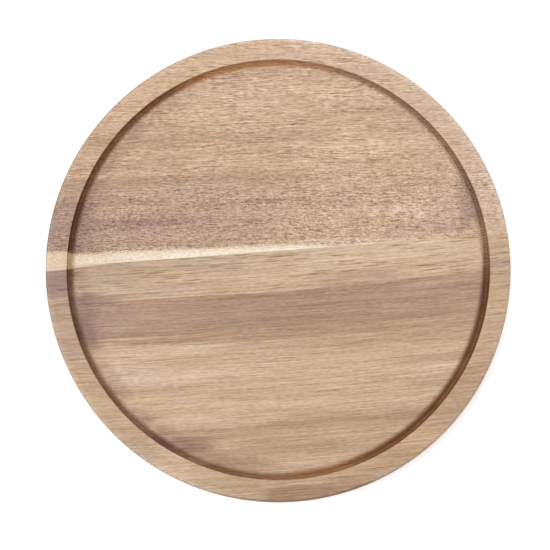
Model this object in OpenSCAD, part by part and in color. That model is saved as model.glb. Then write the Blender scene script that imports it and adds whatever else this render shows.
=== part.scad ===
// Round serving board, edge-glued from two wide staves of hardwood.
// The two jointed edges stand face to face on a thin film of glue. The glued blank is then turned
// round, its edges are rounded, and a juice groove is cut into the top just inside the rim.
// +Z is up and the underside lies on Z = 0, with the middle of the board on the Z axis.
// The grain and the glue line run along X, and the back stave is on the +Y side.

/* [Board] */
// Diameter over the rim
board_d = 330; // [260:1:420]
// Thickness
board_t = 15; // [11:0.5:25]
// Radius of the rounded top edge
top_edge_r = 2; // [0.5:0.1:4]
// Radius of the rounded bottom edge
bottom_edge_r = 1.5; // [0.5:0.1:4]

/* [Edge joint] */
// Distance of the glue line from the middle of the board, towards the back
joint_offset = 12.8; // [-60:0.1:60]
// Thickness of the glue film between the two jointed edges
glue_t = 0.15; // [0.1:0.01:0.4]

/* [Juice groove] */
// Width of the rim, from the outer face to the outer lip of the groove
rim_w = 15; // [8:0.5:40]
// Depth of the groove below the top face
groove_depth = 3; // [2:0.1:5]
// Radius of the groove's floor
floor_r = 1.8; // [1:0.1:2.4]
// Lean of the steep outer wall away from upright, in degrees
outer_lean = 12; // [10:1:30]
// Lean of the gentle inner slope away from upright, in degrees
inner_lean = 45; // [30:1:60]
// Radius of the soft inner lip
inner_lip_r = 3; // [0.5:0.1:5]

/* [Hidden] */

// Facets of a full turn, and of a round in the cross-section
turn_fn = 240;
round_fn = 48;
// How far a cutting shape runs past the face that it cuts
overrun = 1;
// Share of the inner slope that its soft lip may use up
lip_limit_share = 0.9;

board_r = board_d / 2;
// Where the two jointed edges lie, each half a film away from the joint's middle
back_edge_y = joint_offset + glue_t / 2;
front_edge_y = joint_offset - glue_t / 2;

// The groove's cross-section is worked out from its outer lip inwards
outer_lip_x = board_r - rim_w;
floor_mid_z = board_t - groove_depth + floor_r;
wall_foot_z = floor_mid_z - floor_r * sin(outer_lean);
wall_foot_x = outer_lip_x - (board_t - wall_foot_z) * tan(outer_lean);
floor_mid_x = wall_foot_x - floor_r * cos(outer_lean);
slope_foot_x = floor_mid_x - floor_r * cos(inner_lean);
slope_foot_z = floor_mid_z - floor_r * sin(inner_lean);
slope_length = (board_t - slope_foot_z) / cos(inner_lean);
slope_top_x = slope_foot_x - slope_length * sin(inner_lean);

// The soft inner lip touches the top face and the slope at the same distance from their corner
lip_half_turn = (90 - inner_lean) / 2;
lip_r = min(inner_lip_r, lip_limit_share * slope_length / tan(lip_half_turn));
lip_reach = lip_r * tan(lip_half_turn);
lip_start_x = slope_top_x - lip_reach;
lip_end_x = slope_top_x + lip_reach * sin(inner_lean);
lip_end_z = board_t - lip_reach * cos(inner_lean);

// Half of the blank's cross-section, from the middle of the board to the rounded outer edges
module blank_section() {
    polygon([
        [0, 0],
        [board_r - bottom_edge_r, 0],
        [board_r, bottom_edge_r],
        [board_r, board_t - top_edge_r],
        [board_r - top_edge_r, board_t],
        [0, board_t]
    ]);
    translate([board_r - bottom_edge_r, bottom_edge_r]) circle(r = bottom_edge_r, $fn = round_fn);
    translate([board_r - top_edge_r, board_t - top_edge_r]) circle(r = top_edge_r, $fn = round_fn);
}

// Cross-section of the groove: steep outer wall, round floor, gentle inner slope and soft inner lip
module groove_section() {
    difference() {
        union() {
            polygon([
                [outer_lip_x + overrun * tan(outer_lean), board_t + overrun],
                [wall_foot_x, wall_foot_z],
                [floor_mid_x, floor_mid_z],
                [slope_foot_x, slope_foot_z],
                [lip_end_x, lip_end_z],
                [lip_start_x, board_t],
                [lip_start_x, board_t + overrun]
            ]);
            translate([floor_mid_x, floor_mid_z]) circle(r = floor_r, $fn = round_fn);
        }
        translate([lip_start_x, board_t - lip_r]) circle(r = lip_r, $fn = round_fn);
    }
}

// The whole glued blank, turned round and grooved
module board() {
    rotate_extrude($fn = turn_fn) difference() {
        blank_section();
        groove_section();
    }
}

// The part of the board that lies between two planes across the grain
module board_between(from_y, to_y) {
    intersection() {
        board();
        translate([-board_r - overrun, from_y, -overrun])
            cube([board_d + 2 * overrun, to_y - from_y, board_t + 2 * overrun]);
    }
}

// Narrower stave with the wedge of pale sapwood along its jointed edge
module back_stave() {
    color([0.74, 0.61, 0.50]) board_between(back_edge_y, board_r + overrun);
}

// Wider stave with straight grain
module front_stave() {
    color([0.71, 0.58, 0.45]) board_between(-board_r - overrun, front_edge_y);
}

// Film of glue, sanded and turned flush with the board all round
module glue_line() {
    color([0.45, 0.34, 0.24]) board_between(front_edge_y, back_edge_y);
}

back_stave();
front_stave();
glue_line();
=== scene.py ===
"""Round serving board, edge-glued from two wide staves: its finished surfaces, camera, light and floor.

The grain and the glue line run along X. The back stave, on the +Y side, has a fuzzy interlocked grain
and a wedge of pale sapwood along the glue line. The front stave is straight-grained, with short dark
pores and soft colour bands. Materials are worked out in millimetres, and everything else in metres.
"""
import math

import bpy
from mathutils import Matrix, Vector


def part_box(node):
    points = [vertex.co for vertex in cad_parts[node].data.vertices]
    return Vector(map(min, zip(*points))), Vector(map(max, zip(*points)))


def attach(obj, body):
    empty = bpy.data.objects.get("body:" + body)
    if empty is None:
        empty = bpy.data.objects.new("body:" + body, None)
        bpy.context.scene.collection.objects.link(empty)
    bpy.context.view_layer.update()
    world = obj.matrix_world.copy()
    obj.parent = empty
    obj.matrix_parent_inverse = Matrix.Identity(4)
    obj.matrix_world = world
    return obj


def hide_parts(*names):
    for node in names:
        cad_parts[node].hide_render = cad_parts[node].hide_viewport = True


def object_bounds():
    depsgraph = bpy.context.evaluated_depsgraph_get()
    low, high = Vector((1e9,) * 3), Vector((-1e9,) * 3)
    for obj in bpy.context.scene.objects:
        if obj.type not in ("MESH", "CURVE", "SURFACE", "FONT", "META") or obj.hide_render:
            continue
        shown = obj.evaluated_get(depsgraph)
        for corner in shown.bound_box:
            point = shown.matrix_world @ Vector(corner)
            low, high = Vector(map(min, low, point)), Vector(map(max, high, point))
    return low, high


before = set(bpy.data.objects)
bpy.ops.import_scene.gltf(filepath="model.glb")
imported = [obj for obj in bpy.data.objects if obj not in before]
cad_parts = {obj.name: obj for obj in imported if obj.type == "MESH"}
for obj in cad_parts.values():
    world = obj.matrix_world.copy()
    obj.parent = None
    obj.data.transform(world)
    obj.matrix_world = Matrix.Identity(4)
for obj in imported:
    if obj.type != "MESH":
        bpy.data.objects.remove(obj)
cad_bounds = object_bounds()

MM = 0.001

# Sizes read from the frame
BOARD_R = (cad_bounds[1].y - cad_bounds[0].y) / 2
BOARD_T = cad_bounds[1].z - cad_bounds[0].z
BACK_EDGE_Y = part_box("back_stave")[0].y
FRONT_EDGE_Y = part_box("front_stave")[1].y

# Edges and groove, as the board is turned
TOP_EDGE_R = 2 * MM
BOTTOM_EDGE_R = 1.5 * MM
OUTER_LIP = BOARD_R - 15 * MM
GROOVE_DEPTH = 3 * MM
FLOOR_R = 1.8 * MM
OUTER_LEAN = math.radians(12)
INNER_LEAN = math.radians(45)
SOFT_LIP_R = 3 * MM
CRISP_LIP_R = 0.3 * MM
SOFT_LIP_INSET = 20.5 * MM

# Columns of points round the board, with the last one on the first, the bend from which an edge shows
# as a crease, and how near to each other points count as one
COLUMNS = 481
CREASE = math.radians(32)
SAME_POINT = 0.005 * MM

# Waves left by sanding and tears at the soft lip: how deep they are, and their length and width
SANDING_WAVES = 0.04 * MM
WAVE_LENGTH = 90 * MM
WAVE_WIDTH = 14 * MM
LIP_WEAR = 0.25 * MM
TEAR_LENGTH = 7 * MM
TEAR_WIDTH = 2.5 * MM

WHITE = (1, 1, 1, 1)


class Socket:
    """An output socket whose arithmetic adds Math nodes to its tree."""

    def __init__(self, graph, link):
        self.graph = graph
        self.link = link

    def __add__(self, other):
        return self.graph.maths("ADD", self, other)

    def __sub__(self, other):
        return self.graph.maths("SUBTRACT", self, other)

    def __rsub__(self, other):
        return self.graph.maths("SUBTRACT", other, self)

    def __mul__(self, other):
        return self.graph.maths("MULTIPLY", self, other)

    def __truediv__(self, other):
        return self.graph.maths("DIVIDE", self, other)

    def __pow__(self, other):
        return self.graph.maths("POWER", self, other)

    __radd__ = __add__
    __rmul__ = __mul__


class Graph:
    """A node tree written as calls and expressions.

    A Mix node takes its colours at sockets 6 and 7 and gives its colour at output 2.
    """

    def __init__(self, tree):
        self.tree = tree
        tree.nodes.clear()

    def node(self, kind, settings=None, inputs=None, output=0):
        """Adds a node, with its settings first, then the values or links of its sockets."""
        made = self.tree.nodes.new(kind)
        for name, value in (settings or {}).items():
            setattr(made, name, value)
        for key, value in (inputs or {}).items():
            if isinstance(value, Socket):
                self.tree.links.new(value.link, made.inputs[key])
            else:
                made.inputs[key].default_value = value
        return Socket(self, made.outputs[output]) if made.outputs else None

    def maths(self, operation, *values):
        return self.node("ShaderNodeMath", {"operation": operation}, dict(enumerate(values)))

    def size(self, value):
        """The value without its sign."""
        return self.maths("ABSOLUTE", value)

    def split(self, vector):
        return [self.node("ShaderNodeSeparateXYZ", inputs={0: vector}, output=i) for i in range(3)]

    def join(self, x, y, z):
        return self.node("ShaderNodeCombineXYZ", inputs={0: x, 1: y, 2: z})

    def fade(self, value, start, end):
        """0 up to start, 1 from end on, with a soft ramp between."""
        ends = {"Value": value, "From Min": start, "From Max": end}
        return self.node("ShaderNodeMapRange", {"interpolation_type": "SMOOTHSTEP"}, ends)

    def noise(self, place, detail=2.0, roughness=0.5):
        """Cloud noise from 0 to 1 whose lumps are about one unit across."""
        inputs = {"Vector": place, "Scale": 1.0, "Detail": detail, "Roughness": roughness}
        return self.node("ShaderNodeTexNoise", inputs=inputs)

    def blend(self, factor, first, second):
        """Colour that goes from the first to the second as the factor goes from 0 to 1."""
        inputs = {0: factor, 6: first, 7: second}
        return self.node("ShaderNodeMix", {"data_type": "RGBA"}, inputs, output=2)

    def tint(self, first, second):
        """The product of two colours."""
        inputs = {0: 1.0, 6: first, 7: second}
        return self.node("ShaderNodeMix", {"data_type": "RGBA", "blend_type": "MULTIPLY"}, inputs, output=2)

    def scale(self, vector, factor):
        return self.node("ShaderNodeVectorMath", {"operation": "SCALE"}, {0: vector, "Scale": factor})


def arc(centre_r, centre_z, radius, first, last, steps):
    """Points of a round in the cross-section, by their angle from straight up towards the rim."""
    angles = [first + (last - first) * step / steps for step in range(steps + 1)]
    return [(centre_r + radius * math.sin(a), centre_z + radius * math.cos(a)) for a in angles]


def run(start, end, steps):
    """Points between two points of the cross-section, without either of them."""
    shares = [step / steps for step in range(1, steps)]
    return [tuple(a + (b - a) * share for a, b in zip(start, end)) for share in shares]


def board_section():
    """Radius and height along the board's outline, from the top's middle to the underside's."""
    floor_z = BOARD_T - GROOVE_DEPTH + FLOOR_R
    wall_foot_z = floor_z - FLOOR_R * math.sin(OUTER_LEAN)
    floor_r = OUTER_LIP - (BOARD_T - wall_foot_z) * math.tan(OUTER_LEAN) - FLOOR_R * math.cos(OUTER_LEAN)
    slope_foot_z = floor_z - FLOOR_R * math.sin(INNER_LEAN)
    slope_top_r = floor_r - FLOOR_R * math.cos(INNER_LEAN) - (BOARD_T - slope_foot_z) * math.tan(INNER_LEAN)
    fall = math.pi / 2 - INNER_LEAN
    soft_reach = SOFT_LIP_R * math.tan(fall / 2)
    crisp_reach = CRISP_LIP_R * math.tan((math.pi / 2 - OUTER_LEAN) / 2)
    edge_r = BOARD_R - TOP_EDGE_R
    foot_r = BOARD_R - BOTTOM_EDGE_R

    soft_lip = arc(slope_top_r - soft_reach, BOARD_T - SOFT_LIP_R, SOFT_LIP_R, 0, fall, 6)
    floor = arc(floor_r, floor_z, FLOOR_R, math.pi + fall, math.pi / 2 + OUTER_LEAN, 12)
    crisp_lip_r = OUTER_LIP + crisp_reach
    crisp_lip = arc(crisp_lip_r, BOARD_T - CRISP_LIP_R, CRISP_LIP_R, OUTER_LEAN - math.pi / 2, 0, 4)
    top_edge = arc(edge_r, BOARD_T - TOP_EDGE_R, TOP_EDGE_R, 0, math.pi / 2, 8)
    foot = arc(foot_r, BOTTOM_EDGE_R, BOTTOM_EDGE_R, math.pi / 2, math.pi, 6)
    middle, under = (0.0, BOARD_T), (0.0, 0.0)
    return (
        [middle] + run(middle, soft_lip[0], 26) + soft_lip + run(soft_lip[-1], floor[0], 4)
        + floor + run(floor[-1], crisp_lip[0], 4) + crisp_lip + run(crisp_lip[-1], top_edge[0], 6)
        + top_edge + run(top_edge[-1], foot[0], 5) + foot + run(foot[-1], under, 12) + [under]
    )


def turned_stave_tree():
    """Geometry nodes that turn the board's section and keep the part on one side of the joint.

    The top gets the shallow waves that sanding leaves along the grain, and the groove's soft lip the
    unevenness of cut fibres. Side is 1 for the stave beyond the joint and -1 for the one before it.
    """
    tree = bpy.data.node_groups.new("turned stave", "GeometryNodeTree")
    for name, kind in (
        ("Section", "Geometry"), ("Columns", "Int"), ("Board radius", "Float"), ("Thickness", "Float"),
        ("Joint", "Float"), ("Side", "Float"), ("Sanding waves", "Float"), ("Lip wear", "Float"),
        ("Wood", "Material"),
    ):
        tree.interface.new_socket(name, in_out="INPUT", socket_type="NodeSocket" + kind)
    tree.interface.new_socket("Stave", in_out="OUTPUT", socket_type="NodeSocketGeometry")
    g = Graph(tree)

    def given(name):
        return g.node("NodeGroupInput", output=name)

    def place():
        return g.node("GeometryNodeInputPosition")

    section = given("Section")
    rings = g.node("GeometryNodeAttributeDomainSize", inputs={"Geometry": section}, output="Point Count")
    index = g.node("GeometryNodeInputIndex")
    ring = g.maths("FLOOR", (index + 0.5) / given("Columns"))
    turn = (index - ring * given("Columns")) * (2 * math.pi) / (given("Columns") - 1)
    point = g.node("GeometryNodeSampleIndex", {"data_type": "FLOAT_VECTOR"}, {
        "Geometry": section, "Value": place(), "Index": ring,
    })
    radius, _, height = g.split(point)
    grid = g.node("GeometryNodeMeshGrid", inputs={"Vertices X": rings, "Vertices Y": given("Columns")})
    turned = g.node("GeometryNodeSetPosition", inputs={
        "Geometry": grid,
        "Position": g.join(radius * g.maths("COSINE", turn), radius * g.maths("SINE", turn), height),
    })
    seamless = g.node("GeometryNodeMergeByDistance", inputs={"Geometry": turned, "Distance": SAME_POINT})

    x, y, z = g.split(place())
    depth = given("Thickness") - z
    out = g.maths("SQRT", x * x + y * y)
    on_top = 1 - g.fade(depth, 0.2 * MM, 1 * MM)
    wave = g.noise(g.join(x / WAVE_LENGTH, y / WAVE_WIDTH, 0.0)) * on_top
    tear = g.noise(g.join(x / TEAR_LENGTH, y / TEAR_WIDTH, 4.0), 3, 0.6)
    lip_at = 1 - g.fade(g.size(out - given("Board radius") + SOFT_LIP_INSET), 0.5 * MM, 1.8 * MM)
    sink = wave * given("Sanding waves") + tear * lip_at * given("Lip wear")
    wear_and_highlight = g.node("GeometryNodeSetPosition", inputs={
        "Geometry": seamless,
        "Offset": g.join(0.0, 0.0, sink * -1),
    })

    span = given("Board radius") * 3
    block = g.node("GeometryNodeMeshCube", inputs={"Size": g.join(span, span, span)})
    beyond = g.node("GeometryNodeTransform", inputs={
        "Geometry": block,
        "Translation": g.join(0.0, given("Joint") - given("Side") * span / 2, 0.0),
    })
    cut = g.node("GeometryNodeMeshBoolean", {"operation": "DIFFERENCE", "solver": "EXACT"}, {
        "Mesh 1": wear_and_highlight, "Mesh 2": beyond,
    })
    smooth = g.node("GeometryNodeSetShadeSmooth", {"domain": "FACE"}, {
        "Geometry": cut, "Shade Smooth": True,
    })
    bend = g.node("GeometryNodeInputMeshEdgeAngle")
    creased = g.node("GeometryNodeSetShadeSmooth", {"domain": "EDGE"}, {
        "Geometry": smooth, "Shade Smooth": g.maths("LESS_THAN", bend, CREASE),
    })
    real = g.node("GeometryNodeRealizeInstances", inputs={"Geometry": creased})
    dressed = g.node("GeometryNodeSetMaterial", inputs={"Geometry": real, "Material": given("Wood")})
    g.node("NodeGroupOutput", inputs={"Stave": dressed})
    return tree


def turn_stave(name, tree, values):
    """A finished stave as a plain mesh, from the board's section and the tree's named inputs."""
    outline = board_section()
    section = bpy.data.meshes.new("board section")
    section.from_pydata([(r, 0, z) for r, z in outline], [(k, k + 1) for k in range(len(outline) - 1)], [])
    stave = bpy.data.objects.new(name, section)
    bpy.context.collection.objects.link(stave)
    modifier = stave.modifiers.new("turned stave", "NODES")
    modifier.node_group = tree
    inputs = {item.name: item.identifier for item in tree.interface.items_tree if item.in_out == "INPUT"}
    for key, value in values.items():
        modifier[inputs[key]] = value
    mesh = bpy.data.meshes.new_from_object(stave.evaluated_get(bpy.context.evaluated_depsgraph_get()))
    stave.modifiers.clear()
    stave.data = mesh
    mesh.name = name
    return stave


# Light that a white surface on top of the board sends back, and what its gloss adds to any colour
LIGHT_GAIN = 1.1
GLOSS = 0.015


def paint(red, green, blue):
    """Surface colour that shows as this 0 to 255 colour under the scene's lights."""
    def linear(value):
        share = value / 255
        return share / 12.92 if share < 0.04045 else ((share + 0.055) / 1.055) ** 2.4
    return (*(max(linear(v) - GLOSS, 0) / LIGHT_GAIN for v in (red, green, blue)), 1.0)


class Grained:
    """A material whose patterns run along the grain, with its coordinates in millimetres.

    Ring is the place across the grain that the patterns follow.
    """

    def __init__(self, name):
        self.material = bpy.data.materials.new(name)
        self.material.use_nodes = True
        self.g = Graph(self.material.node_tree)
        place = self.g.node("ShaderNodeTexCoord", output="Object")
        self.x, self.y, self.z = self.g.split(self.g.scale(place, 1 / MM))
        self.ring = self.y

    def fibres(self, length, width, seed, detail=2.0, roughness=0.5):
        """Noise drawn out along the grain: lumps of that length and width."""
        g = self.g
        place = g.join(self.x / length + seed, self.ring / width, self.z / width + seed)
        return g.noise(place, detail, roughness)

    def finish(self, colour, height, roughness):
        """The material with that colour and roughness, and fine relief where height is raised."""
        g = self.g
        bump = g.node("ShaderNodeBump", inputs={"Strength": 0.6, "Distance": 0.1 * MM, "Height": height})
        shader = g.node("ShaderNodeBsdfPrincipled", inputs={
            "Base Color": colour,
            "Roughness": roughness,
            "Normal": bump,
            "Specular IOR Level": 0.3,
        })
        g.node("ShaderNodeOutputMaterial", inputs={"Surface": shader})
        return self.material


class StaveWood(Grained):
    """The wood of one stave, with what turning and use did to it.

    Depth is measured from the top, and side goes from -1 at the left end to 1 at the right end. Rim is
    1 outside the groove, upper is 1 down to the groove's floor, and the quarters mask is 1 in the two
    quarters that lie off the line of the two lamps. Besides the wood's own scorch and stain, it carries
    painted shade in the groove and on the side wall, and a painted highlight on the top edge.
    """

    def __init__(self, name):
        super().__init__(name)
        g = self.g
        lip = OUTER_LIP / MM
        groove = GROOVE_DEPTH / MM
        self.depth = BOARD_T / MM - self.z
        self.radius = g.maths("SQRT", self.x * self.x + self.y * self.y)
        self.side = self.x / self.radius
        near_top = 1 - g.fade(self.depth, 4, 12)
        self.rim = g.fade(self.radius, lip - 0.2, lip + 0.2) * near_top
        self.upper = 1 - g.fade(self.depth, groove + 0.5, groove + 1.5)
        # Painted shade and light: 1 in the two quarters off the line of the two lamps, where the groove is
        # painted darker and the edge highlight weaker
        self.off_lamp_quarters = g.fade(self.x * self.y / (self.radius * self.radius), 0.15, -0.15)

    def toward(self, bearing, spread):
        """1 on the side of the board at that bearing, 0 from spread degrees away from it.

        Bearings are in degrees clockwise from +X, as seen from above.
        """
        turn = math.radians(bearing)
        aim = (self.x * math.cos(turn) - self.y * math.sin(turn)) / self.radius
        return self.g.fade(aim, math.cos(math.radians(spread)), math.cos(math.radians(spread / 2)))

    def pores(self, length, gap, seed):
        """1 on the fine short pores scattered along the grain, 0 between them."""
        g = self.g
        place = g.join(self.x / length + seed, self.ring / gap + seed, self.z / gap)
        return g.fade(g.node("ShaderNodeTexVoronoi", inputs={"Vector": place, "Scale": 1.0}), 0.38, 0.2)

    def figure(self, colour, patches):
        """Lays patches of other shades over a colour.

        Each patch has its lower and upper edge across the grain and how soft these are, its left and right
        end along the grain and how soft these are, its colour and how much of it shows.
        """
        g = self.g
        fray = self.fibres(50, 1.6, 2.9, 3, 0.6) - 0.5
        for low, high, soft, left, right, ends, shade, strength in patches:
            across = self.ring + fray * (soft * 6)
            body = g.fade(across, low - soft, low + soft) - g.fade(across, high - soft, high + soft)
            along = g.fade(self.x, left - ends, left + ends) - g.fade(self.x, right - ends, right + ends)
            colour = g.blend(body * along * strength, colour, paint(*shade))
        return colour

    def shade(self, colour, tone):
        """The colour at another tone: darker wood is redder, lighter wood is paler, with a drift in hue."""
        hue = self.fibres(35, 5, 8.6) - 0.5
        red, green, blue = tone ** 0.85, tone ** 1.05, tone ** 1.25
        return self.g.tint(colour, self.g.join(red * (1 + hue * 0.1), green, blue * (1 - hue * 0.16)))

    def scorched_and_shaded(self, colour, spared):
        """The colour with the cutter's scorch in the groove, and painted shade and light over it.

        The scorch is least along the grain, more on end grain, and darker towards the front. Painted shade
        makes it darker, and reach further in on the inner slope, in the two quarters off the line of the
        lamps; painted light makes it weaker on the sides that face the lamps. By bearing it also starts
        early or late on the inner slope, stops just short of the outer lip or just past it, and is warmer
        in places.
        """
        g = self.g
        lip = OUTER_LIP / MM
        front = g.fade(self.y / self.radius, 0.5, -0.5)
        end_grain = g.fade(self.side * self.side + front * 0.05, 0.02, 0.22)
        early = self.toward(236, 60) + self.toward(116, 26) + 0.5 * self.toward(56, 22)
        late = self.toward(346, 30)
        # Painted shade: in the two quarters off the line of the lamps, more so towards the front, the
        # darkening starts further in on the inner slope and is full sooner
        start = lip - 5.4 - self.off_lamp_quarters * (1.2 + 1.4 * front) - 0.4 * early + 1.1 * late
        full = lip - 1.6 - self.off_lamp_quarters * front * 1.2 - early - 0.8 * late
        stop = lip + 0.45 * self.toward(154, 34) + 0.4 * self.toward(4, 44)
        stop = stop - 0.4 * self.toward(252, 64) - 0.4 * self.toward(86, 24)
        strength = g.fade(self.radius, start, full) * g.fade(self.radius, stop + 0.2, stop - 0.2)
        # Painted light: the scorch is weaker, and the groove lighter, on the sides that face the two lamps
        strength = strength * (1 - 0.14 * self.toward(318, 56) - 0.16 * self.toward(128, 18))
        # Painted shade: end grain takes a darker scorch in the two quarters off the line of the lamps
        end_grain_and_shade = g.blend(self.off_lamp_quarters, (0.45, 0.335, 0.25, 1), (0.31, 0.19, 0.11, 1))
        along = g.blend(front, (0.76, 0.54, 0.33, 1), (0.53, 0.37, 0.23, 1))
        warm = g.blend(self.toward(64, 34) + self.toward(234, 28), WHITE, (1.18, 1.12, 1.03, 1))
        scorch_and_shade = g.tint(g.blend(end_grain, along, end_grain_and_shade), warm)
        pale = g.blend(spared, scorch_and_shade, (0.58, 0.5, 0.305, 1))
        return g.tint(colour, g.blend(strength * self.upper, WHITE, pale))

    def stained(self, colour, spared):
        """The colour with a cloudy grey stain inside the groove, mostly at the left."""
        g = self.g
        lip = OUTER_LIP / MM
        cloud = g.noise(g.join(self.x / 22, self.y / 16, 2.0), 3, 0.6)
        beside = g.fade(self.radius, lip - 18, lip - 8) * (1 - self.rim)
        left = g.fade(self.side, 0.7, -0.7)
        stain = beside * self.upper * g.fade(cloud, 0.3, 0.58) * left * (1 - spared)
        return g.tint(colour, g.blend(stain, WHITE, (0.78, 0.72, 0.75, 1)))

    def edged(self, colour):
        """The colour with a painted highlight on the top edge, paler and bluer, and painted shade on the
        side wall.
        """
        g = self.g
        edge = BOARD_R / MM
        # Painted highlight: the round of the top edge is paler and bluer, half as much in the quarters off
        # the line of the lamps
        wear_and_highlight = g.fade(self.radius, edge - 5, edge - 1.5) * (1 - g.fade(self.depth, 0.5, 1.5))
        wear_and_highlight = wear_and_highlight * (1 - 0.5 * self.off_lamp_quarters)
        colour = g.tint(colour, g.blend(wear_and_highlight, WHITE, (1.06, 1.12, 1.18, 1)))
        # Painted shade: the side wall is darker, from nearer the top at the front and the back left, which
        # the lamps light least
        lit_side = 1 - self.toward(88, 26) - self.toward(218, 52)
        wall_shade = g.fade(self.depth, 0.25 + 0.65 * lit_side, 0.9 + 1.1 * lit_side) * g.fade(self.z, 0.1, 1.5)
        wall_shade = wall_shade * g.fade(self.radius, edge - 4, edge - 2)
        return g.tint(colour, g.blend(wall_shade, WHITE, (0.5, 0.45, 0.42, 1)))

    def worked_and_shaded(self, colour, spared):
        """The colour with scorch, stain, painted shade in the groove and on the side wall, and a painted
        highlight on the top edge.

        What is spared, from 0 to 1, takes less of the scorch and the stain.
        """
        return self.edged(self.stained(self.scorched_and_shaded(colour, spared), spared))


def front_wood():
    """Straight-grained heartwood with soft colour bands and short dark pores."""
    w = StaveWood("front stave wood")
    g = w.g
    # The bands rise towards the joint at both ends, drift a little and lean through the thickness
    drift = g.noise(g.join(w.x / 90, w.y / 40, w.z / 40)) * 3 - 1.5
    bow = (w.x + 10) * (w.x + 10) / 9000
    w.ring = w.y - bow + drift + (w.z - 15) * 0.5 + 0.5

    colour = w.figure(paint(204, 174, 145), [
        (-3, 20, 2.0, -250, -90, 20, (188, 163, 138), 1),
        (3, 20, 2.0, -90, -15, 20, (196, 171, 146), 0.9),
        (-4, 14, 2.0, -25, 30, 15, (207, 179, 152), 0.7),
        (-13, -4, 1.5, -250, -55, 20, (198, 171, 148), 0.9),
        (-2, 11, 1.5, 15, 140, 20, (215, 188, 160), 0.9),
        (-10, -5, 1.5, -25, 25, 10, (212, 184, 158), 0.8),
        (-12, -5, 1.5, 95, 200, 10, (212, 185, 158), 0.6),
        (-12, -6, 1.2, 35, 85, 12, (188, 159, 134), 0.8),
        (-42, -15.5, 0.8, -300, 300, 30, (176, 146, 123), 1),
        (-46.5, -40, 1.6, -85, 300, 30, (180, 149, 123), 0.9),
        (-45.5, -43.5, 0.6, -140, -85, 15, (182, 153, 131), 0.9),
        (-17, -12.5, 1.0, 30, 300, 15, (180, 150, 126), 0.85),
        (-20, -15.5, 1.2, 92, 300, 12, (193, 163, 142), 0.7),
        (-16, -11, 1.2, -250, -112, 10, (167, 140, 123), 0.9),
        (-18.5, -16.5, 0.5, -40, 40, 15, (163, 133, 109), 0.7),
        (-38, -18, 3.0, -130, -75, 20, (178, 149, 131), 0.8),
        (-29.5, -25.5, 0.8, -20, 35, 15, (166, 135, 112), 0.8),
        (-41, -34, 1.5, -10, 75, 20, (172, 139, 115), 0.8),
        (-37, -27, 2.0, 60, 160, 25, (184, 152, 128), 0.8),
        (-50, -44, 1.2, -50, 300, 25, (184, 151, 124), 0.9),
        (-47.5, -45, 0.5, -120, -60, 15, (174, 145, 123), 0.8),
        (-51, -44, 1.2, 88, 150, 15, (195, 162, 136), 0.9),
        (-59, -49.5, 1.2, -15, 300, 25, (194, 163, 135), 0.95),
        (-53, -50, 0.8, -50, -10, 10, (193, 162, 134), 0.8),
        (-58, -50, 1.2, -130, -40, 20, (211, 183, 156), 0.9),
        (-76, -68, 1.5, -130, -30, 25, (216, 189, 164), 0.8),
        (-76, -61, 1.5, -140, -92, 15, (212, 186, 161), 0.9),
        (-60, -54, 1.2, -25, 30, 15, (205, 174, 146), 0.8),
        (-77, -69, 1.5, -30, 60, 25, (211, 181, 151), 0.8),
        (-84, -77, 1.5, 80, 150, 15, (214, 184, 157), 0.9),
        (-76, -68, 1.5, 88, 150, 12, (195, 163, 136), 0.8),
        (-82, -78.5, 0.8, -130, -75, 12, (191, 162, 137), 0.9),
        (-86, -82, 1.0, -50, 0, 12, (198, 167, 139), 0.8),
        (-94, -90, 1.0, -90, -40, 18, (213, 185, 157), 0.8),
        (-99, -92, 1.5, -35, 30, 15, (213, 182, 153), 0.8),
        (-106, -100, 1.2, -80, -35, 15, (214, 185, 157), 0.8),
        (-91, -86.5, 0.8, 82, 110, 10, (192, 163, 136), 0.8),
        (-92, -84, 1.2, 25, 80, 12, (211, 181, 151), 0.6),
        (-102, -98, 0.8, -130, -92, 10, (187, 158, 130), 0.9),
        (-107, -103, 1.0, -5, 120, 15, (196, 164, 136), 0.9),
        (-114, -107, 1.2, -25, 200, 20, (185, 153, 125), 1),
        (-118, -110, 1.5, -120, -15, 15, (184, 153, 127), 0.9),
        (-126, -114, 2.0, -200, -54, 8, (171, 140, 118), 1),
        (-126, -114, 2.0, -40, 90, 20, (194, 161, 133), 0.8),
        (-122, -117.5, 1.2, 0, 90, 15, (200, 168, 140), 0.7),
        (-130, -125, 1.2, -200, 200, 20, (185, 151, 123), 0.9),
        (-131, -124, 1.2, 38, 90, 10, (198, 166, 138), 0.8),
        (-47, -10, 3.0, -300, -130, 6, (157, 131, 120), 0.6),
        (-138, -131, 2.0, -60, -15, 15, (187, 153, 126), 0.9),
        (-141, -132, 1.5, -10, 60, 15, (206, 173, 145), 0.9),
    ])
    rim_colour = w.figure(paint(197, 167, 138), [
        (-10.5, 10, 1.5, -300, 0, 20, (162, 135, 121), 1),
        (-60, -11, 2.5, -300, 0, 20, (187, 158, 136), 0.9),
        (-14, -7, 1.5, 0, 300, 20, (190, 158, 136), 0.9),
        (-84, -35, 5.0, 60, 300, 20, (201, 170, 142), 0.6),
        (-150, -76, 5.0, 60, 300, 20, (190, 157, 127), 0.9),
        (-132, -123, 1.5, 78, 110, 8, (205, 174, 142), 0.9),
        (-126, -112, 1.0, -130, -98, 6, (189, 160, 134), 0.8),
        (-165, -121, 1.2, -98, -70, 8, (209, 179, 151), 0.9),
        (-180, -140, 3.0, -48, -24, 6, (191, 160, 131), 0.9),
        (-180, -154.5, 1.4, -22, 70, 8, (168, 135, 108), 1),
        (-155, -149, 1.5, 28, 60, 8, (182, 149, 117), 0.8),
    ])
    colour = g.blend(w.rim, colour, rim_colour)

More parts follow.
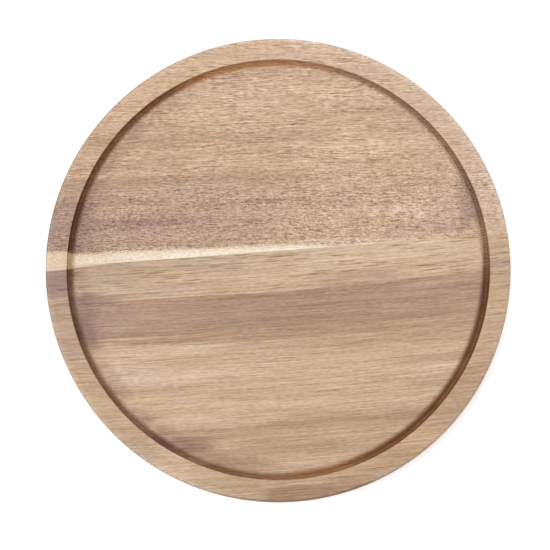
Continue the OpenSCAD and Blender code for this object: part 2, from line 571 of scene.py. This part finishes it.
    wide = w.fibres(200, 4, 3.1, 2)
    streak = w.fibres(120, 1.6, 7.7, 2)
    line = w.fibres(80, 0.95, 1.3, 1, 0.6)
    hair = w.fibres(25, 0.8, 6.2, 0)
    grit = w.fibres(4, 0.8, 4.1, 0)
    crowd = w.fibres(60, 8, 9.4, 2)
    fine = (hair - 0.5) * 0.45 + (grit - 0.5) * 0.5
    tone = 1 + (wide - 0.5) * 0.3 + (streak - 0.5) * 0.45 + (line - 0.5) * 0.6 + fine
    # The pores show most near the joint
    near_joint = g.fade(w.y, -25, 0)
    pore = w.pores(22, 1.15, 5.9) * g.fade(crowd, 0.25, 0.55) * (0.35 + 0.65 * near_joint)
    colour = w.shade(colour, tone * (1 - pore * 0.52))

    # A sliver of sapwood in the corner at the left end of the joint
    sliver = g.fade(w.y - FRONT_EDGE_Y / MM + 2.3 * g.fade(w.x, -117, -163), -0.4, 0.4)
    colour = g.blend(sliver, colour, paint(226, 199, 175))
    colour = w.worked_and_shaded(colour, sliver)
    height = (line - 0.5) * 0.3 + hair * 0.3 - pore
    return w.finish(colour, height, 0.55 - (line - 0.5) * 0.2)


def back_wood():
    """Fuzzy interlocked heartwood that darkens towards a wedge of pale sapwood on the glue line."""
    w = StaveWood("back stave wood")
    g = w.g
    ribbon = g.fade(g.noise(g.join(w.x / 60 + 1.9, w.y / 13, w.z / 13), 1), 0.35, 0.65)
    # The bands fall a little towards the right, drift and lean through the thickness
    drift = g.noise(g.join(w.x / 100 + 5, w.y / 40, w.z / 40)) * 3 - 1.5
    wobble = g.noise(g.join(w.x / 16, w.y / 5, w.z / 5), 1) - 0.5
    w.ring = w.y + w.x * 0.02 + drift + (w.z - 15) * 0.4

    heart = g.fade(w.y, 85, 45) * g.fade(w.x, 60, -60)
    colour = w.figure(g.blend(heart, paint(204, 173, 145), paint(187, 157, 136)), [
        (124, 131, 2.0, -60, 60, 20, (214, 184, 156), 0.7),
        (109, 120, 2.0, -60, 20, 20, (211, 181, 153), 0.6),
        (116, 124, 2.0, 40, 70, 10, (213, 183, 155), 0.7),
        (120.5, 123, 0.8, -105, -40, 15, (190, 158, 130), 0.9),
        (104, 113, 2.0, 70, 105, 8, (195, 163, 138), 0.8),
        (90, 99, 1.8, -135, 30, 25, (191, 158, 132), 0.9),
        (99, 106, 1.8, -135, -50, 15, (195, 163, 136), 0.7),
        (76, 88, 1.5, 35, 125, 20, (216, 185, 157), 0.9),
        (60, 66, 1.5, -25, 30, 12, (190, 158, 133), 0.9),
        (93, 100, 2.0, 90, 120, 8, (192, 160, 136), 0.8),
        (64, 71, 1.8, -300, 10, 30, (183, 150, 125), 0.8),
        (76, 84, 1.5, -145, -60, 15, (190, 157, 131), 0.6),
        (76, 84, 1.5, 95, 130, 8, (199, 168, 142), 0.7),
        (50, 55, 1.2, -200, -75, 20, (177, 146, 125), 0.9),
        (46.5, 50.5, 1.0, -60, 25, 15, (181, 149, 126), 0.95),
        (53, 56, 0.8, -10, 60, 15, (208, 176, 152), 0.7),
        (42, 52, 2.0, 20, 90, 20, (194, 163, 140), 0.6),
        (53, 60, 2.0, 85, 130, 12, (193, 162, 139), 0.7),
        (44, 50, 1.4, -135, -90, 10, (196, 166, 143), 0.9),
        (34, 41, 1.8, -300, -60, 30, (165, 137, 121), 0.95),
        (30, 34, 1.2, -300, -50, 20, (180, 151, 134), 0.6),
        (34, 42, 2.0, 62, 118, 12, (214, 184, 160), 0.85),
        (24, 30, 1.5, -125, -20, 25, (190, 161, 142), 0.6),
        (19, 27, 2.5, 75, 135, 8, (190, 161, 141), 0.8),
        (13, 18, 1.2, -40, 80, 12, (210, 185, 164), 0.8),
        (24, 48, 3.0, 108, 130, 8, (201, 172, 151), 0.6),
        (22, 62, 6.0, 131, 160, 3, (168, 140, 126), 0.7),
    ])
    colour = g.blend(g.fade(w.x, -112, -134) * g.fade(w.y, 75, 50) * 0.8, colour, paint(170, 142, 126))
    pale = g.blend(g.fade(w.x, -40, 40), paint(209, 177, 148), paint(212, 182, 157))
    colour = g.blend(w.rim * g.fade(w.y + w.x * 0.4, 40, 90) * 0.85, colour, pale)

    # The fibres lie a little across the colour bands
    w.ring = w.ring + w.x * 0.03 + wobble * (0.15 + 0.35 * ribbon)
    wide = w.fibres(140, 4.5, 2.2, 2)
    streak = w.fibres(60, 1.9, 6.1, 2, 0.6)
    dash = w.fibres(18, 0.9, 8.3, 0)
    fleck = w.fibres(6, 0.8, 4.4, 0)
    grit = w.fibres(3.6, 0.8, 7.4, 0)
    fluff = w.fibres(1.6, 0.75, 2.7, 0)
    crowd = w.fibres(50, 7, 3.4, 2)
    mottle = g.noise(g.join(w.x / 9, w.y / 7, w.z / 7), 2, 0.6) - 0.5
    mottled = g.fade(w.x, 55, 85) * g.fade(w.y, 46, 32)
    calm = g.fade(w.y, 40, 90)
    long_fuzz = (dash - 0.5) * (0.5 + 0.5 * calm) + (fleck - 0.5) * (0.6 + 0.4 * calm)
    short_fuzz = (grit - 0.5) * 1.1 + (fluff - 0.5) * (1.3 - 0.7 * calm)
    fuzz = long_fuzz + short_fuzz
    amount = 0.75 + 0.26 * ribbon - 0.2 * calm - 0.12 * mottled - 0.1 * w.rim
    tone = 1 + (wide - 0.5) * 0.25 + (streak - 0.5) * 0.4 + fuzz * amount
    pore = w.pores(16, 1.4, 5.2) * g.fade(crowd, 0.4, 0.6)
    tone = (tone + mottle * (0.15 + 0.55 * mottled)) * (1 - pore * 0.3)

    # The wedge thins out from the left end of the glue line to nothing right of the middle, and gets
    # thicker towards the underside
    thin = g.maths("MAXIMUM", (72 - w.x) / 190, 0.0) ** 0.75
    left_end = 2.4 * g.fade(w.x, -142, -152) - 0.95 * g.fade(w.x, -105, -133)
    thick = 8.4 * thin + left_end - 1.3 * g.fade(w.x, 15, 45) + w.depth * 0.2
    stipple = (g.noise(g.join(w.x / 1.8, w.y / 0.9, w.z), 2, 0.7) - 0.5) * 8
    above = w.y - BACK_EDGE_Y / MM - thick
    sap = 1 - g.fade(above + stipple, -1.4, 1.2)
    trace = g.fade(w.x, 130, 75) * (1 - g.fade(w.y - BACK_EDGE_Y / MM + stipple * 0.15, 0.2, 1.6)) * 0.75
    clear = g.blend(g.fade(w.x, -150, -60), paint(235, 213, 191), paint(245, 231, 209))
    pith = g.blend(g.fade(above + thick * 0.4, -2, 3), clear, paint(232, 209, 186))
    cream = g.blend(w.rim, pith, paint(226, 199, 175))
    sap = g.maths("MAXIMUM", sap, trace)
    dots = w.pores(2.2, 1.5, 3.7) * 0.14
    colour = g.blend(sap, w.shade(colour, tone), w.shade(cream, (1 + fuzz * 0.3) * (1 - dots)))
    colour = w.worked_and_shaded(colour, sap)
    height = (streak - 0.5) * 0.3 + fuzz * 0.5 - pore * 0.7
    return w.finish(colour, height, 0.58 - (streak - 0.5) * 0.2)


def glue_film():
    """Dried brown glue with a faint cloudiness along the line."""
    w = Grained("dried glue")
    cloud = w.fibres(12, 3, 1.7)
    colour = w.g.blend(cloud, paint(168, 138, 110), paint(206, 178, 150))
    return w.finish(colour, cloud, 0.6)


def make_staves():
    """Both staves, each in place of its plain CAD solid."""
    tree = turned_stave_tree()
    for node, joint, side, wood in (
        ("back_stave", BACK_EDGE_Y, 1.0, back_wood()),
        ("front_stave", FRONT_EDGE_Y, -1.0, front_wood()),
    ):
        stave = turn_stave("finished_" + node, tree, {
            "Columns": COLUMNS, "Board radius": BOARD_R, "Thickness": BOARD_T, "Joint": joint, "Side": side,
            "Sanding waves": SANDING_WAVES, "Lip wear": LIP_WEAR, "Wood": wood,
        })
        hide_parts(node)
        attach(stave, "root")


def dress_glue():
    """The glue line keeps its CAD solid and gets its material."""
    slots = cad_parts["glue_line"].data.materials
    slots.clear()
    slots.append(glue_film())


def make_floor():
    """A plain pale floor that glows a little, as a light table does.

    It is open where the board's flat underside rests, because two faces at one height show as stripes.
    """
    steps = 96
    reach = 6.0
    turns = [2 * math.pi * step / steps for step in range(steps)]
    corners = [
        (radius * math.cos(turn), radius * math.sin(turn), 0)
        for radius in (BOARD_R - BOTTOM_EDGE_R, reach) for turn in turns
    ]
    pairs = [(step, (step + 1) % steps) for step in range(steps)]
    mesh = bpy.data.meshes.new("floor")
    mesh.from_pydata(corners, [], [(a, a + steps, b + steps, b) for a, b in pairs])
    floor = bpy.data.objects.new("floor", mesh)
    bpy.context.collection.objects.link(floor)
    material = bpy.data.materials.new("pale floor")
    material.use_nodes = True
    g = Graph(material.node_tree)
    shader = g.node("ShaderNodeBsdfPrincipled", inputs={
        "Base Color": (0.9, 0.9, 0.9, 1), "Roughness": 1.0, "Specular IOR Level": 0.0,
        "Emission Color": WHITE, "Emission Strength": 0.4,
    })
    g.node("ShaderNodeOutputMaterial", inputs={"Surface": shader})
    mesh.materials.append(material)


def make_lights():
    """White surroundings, with soft lights behind the board and to its left."""
    box_size = 1.6
    box_distance = 1.45
    world = bpy.data.worlds.new("white studio")
    bpy.context.scene.world = world
    world.use_nodes = True
    g = Graph(world.node_tree)
    glow = g.node("ShaderNodeBackground", inputs={"Color": WHITE, "Strength": 0.62})
    g.node("ShaderNodeOutputWorld", inputs={"Surface": glow})
    for name, azimuth, power in (("back softbox", 66, 18.5), ("left softbox", -154, 17)):
        lamp = bpy.data.lights.new(name, "AREA")
        lamp.shape = "SQUARE"
        lamp.size = box_size
        lamp.energy = power
        box = bpy.data.objects.new(name, lamp)
        turn = math.radians(azimuth)
        box.location = (box_distance * math.cos(turn), box_distance * math.sin(turn), box_distance)
        box.rotation_euler = Vector(box.location).to_track_quat("Z", "Y").to_euler()
        bpy.context.collection.objects.link(box)


def make_camera():
    """Nearly overhead, from a long way off, as the photo was taken."""
    azimuth = math.radians(-4.24)
    elevation = math.radians(84.5)
    distance = 4.0
    away = Vector((
        math.sin(azimuth) * math.cos(elevation),
        -math.cos(azimuth) * math.cos(elevation),
        math.sin(elevation),
    ))
    # The picture's width, the board's width in it and the place of the board's centre, in pixels
    picture = 550
    board_width = 465.2
    centre_x = 278.15
    centre_y = 269.0
    camera = bpy.data.cameras.new("camera")
    camera.sensor_width = 36
    camera.lens = camera.sensor_width * distance / (2 * BOARD_R * picture / board_width)
    camera.shift_x = -(centre_x - picture / 2) / picture
    camera.shift_y = (centre_y - picture / 2) / picture
    camera.clip_end = 100
    stand = bpy.data.objects.new("camera", camera)
    stand.location = Vector((0, 0, BOARD_T)) + away * distance
    stand.rotation_euler = away.to_track_quat("Z", "Y").to_euler()
    bpy.context.collection.objects.link(stand)
    bpy.context.scene.camera = stand


make_staves()
dress_glue()
make_floor()
make_lights()
make_camera()
bpy.context.scene.view_settings.view_transform = "Standard"
